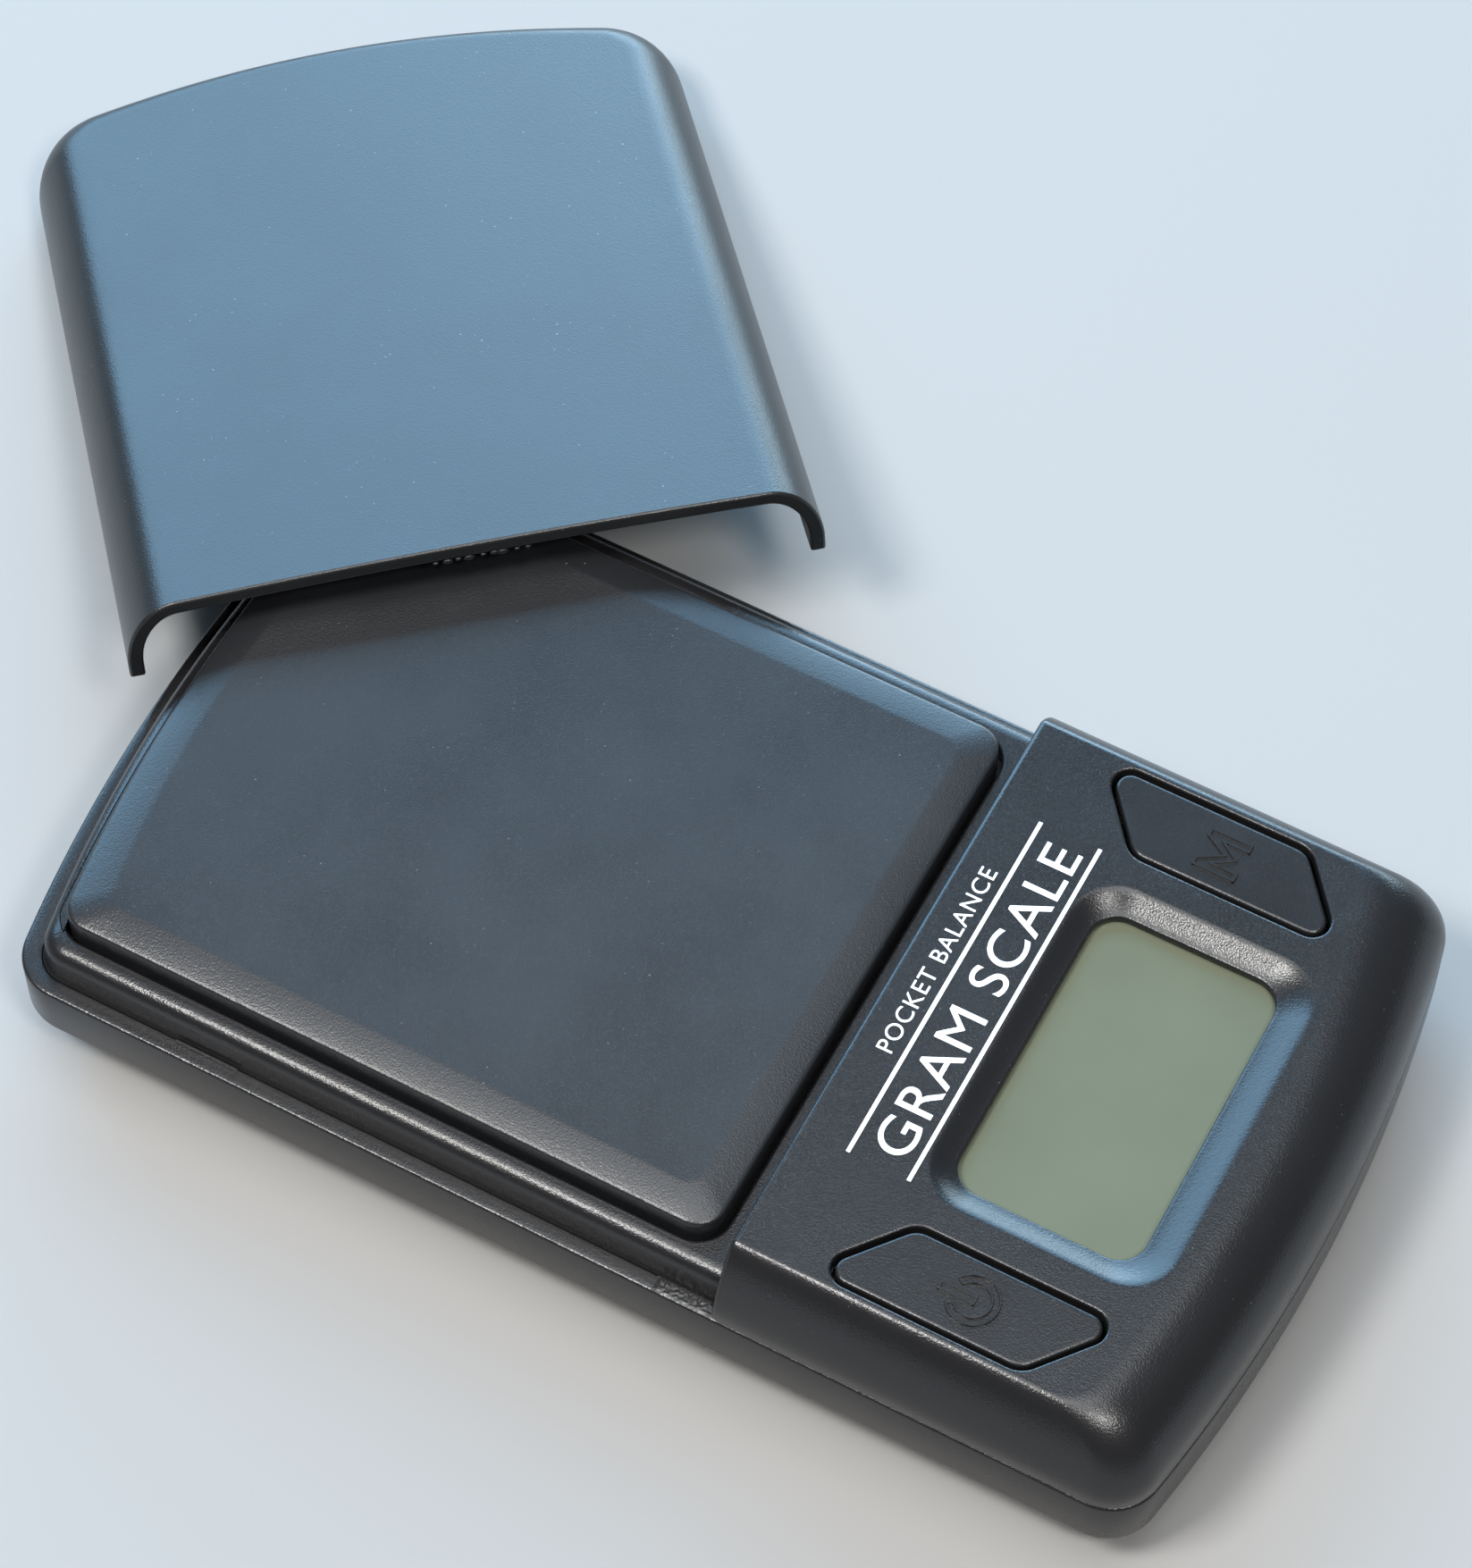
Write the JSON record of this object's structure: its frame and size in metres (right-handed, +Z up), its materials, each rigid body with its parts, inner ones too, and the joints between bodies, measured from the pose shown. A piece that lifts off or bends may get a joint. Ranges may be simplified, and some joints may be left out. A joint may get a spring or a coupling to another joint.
{
  "type": "digital gram scale",
  "caption": "Pocket digital gram scale with a flat weighing platform, display hood, two buttons and a lift-off cover leaning on its corner.",
  "frame": {"origin": "middle of the whole object's footprint, on the surface the feet stand on", "axes": "+X along the scale towards its display end, +Z up"},
  "size_m": [0.1794, 0.1358, 0.0258],
  "materials": {
    "case": "fine spark-eroded texture",
    "cover": "fine texture, dusty",
    "tray": "fine texture",
    "button": "satin",
    "clear": "clear, polished",
    "lcd": "grey-green display",
    "rubber": "matt",
    "board": "solder mask",
    "epoxy": "satin",
    "aluminium": "milled",
    "steel": "zinc plated",
    "nickel": "nickel plated",
    "foil": "film",
    "cell": "plain sleeve",
    "white": "natural white",
    "wire_red": "insulation",
    "wire_black": "insulation",
    "wire_green": "insulation",
    "wire_white": "insulation"
  },
  "bodies": {
    "scale": {"lower_case": "case", "upper_case": "case", "load_cell": "aluminium", "strain_gauge_1": "foil", "strain_gauge_2": "foil", "load_cell_lead_1": "wire_red", "load_cell_lead_2": "wire_black", "load_cell_lead_3": "wire_green", "load_cell_lead_4": "wire_white", "main_board": "board", "chip_cover": "epoxy", "lcd_window": "clear", "lcd_glass": "lcd", "lcd_holder": "white", "lcd_connector_left": "rubber", "lcd_connector_right": "rubber", "power_switch": "epoxy", "mode_switch": "epoxy", "battery_1": "cell", "battery_2": "cell", "contact_positive": "nickel", "contact_negative": "nickel", "contact_bridge": "nickel", "battery_spring_1": "nickel", "battery_spring_2": "nickel", "battery_lead_red": "wire_red", "battery_lead_black": "wire_black", "case_screw_1": "steel", "case_screw_2": "steel", "case_screw_3": "steel", "case_screw_4": "steel", "load_cell_screw_1": "steel", "board_screw_1": "steel", "load_cell_screw_2": "steel", "board_screw_2": "steel", "foot_1": "rubber", "foot_2": "rubber", "foot_3": "rubber", "foot_4": "rubber"},
    "platform": {"weighing_platform": "tray", "platform_carrier": "aluminium", "carrier_spacer": "aluminium", "carrier_screw_1": "steel", "carrier_screw_2": "steel"},
    "power_button": {"power_button": "button", "power_stem": "white"},
    "mode_button": {"mode_button": "button", "mode_stem": "white"},
    "battery_door": {"battery_door": "case"},
    "cover": {"cover": "cover"}
  },
  "joints": [
    {"name": "cover_lift", "type": "slide", "parent": "scale", "child": "cover", "axis": [0, 0, 1], "range_m": [0, 0.07]},
    {"name": "platform_press", "type": "slide", "parent": "scale", "child": "platform", "axis": [0, 0, -1], "range_m": [0, 0.0004], "stiffness_N_per_m": 6000, "springref_m": -0.0001},
    {"name": "power_button_press", "type": "slide", "parent": "scale", "child": "power_button", "axis": [0, 0, -1], "range_m": [0, 0.0004], "stiffness_N_per_m": 4000, "springref_m": -0.0001},
    {"name": "mode_button_press", "type": "slide", "parent": "scale", "child": "mode_button", "axis": [0, 0, -1], "range_m": [0, 0.0004], "stiffness_N_per_m": 4000, "springref_m": -0.0001},
    {"name": "battery_door_slide", "type": "slide", "parent": "scale", "child": "battery_door", "axis": [1, 0, 0], "range_m": [0, 0.042]}
  ]
}
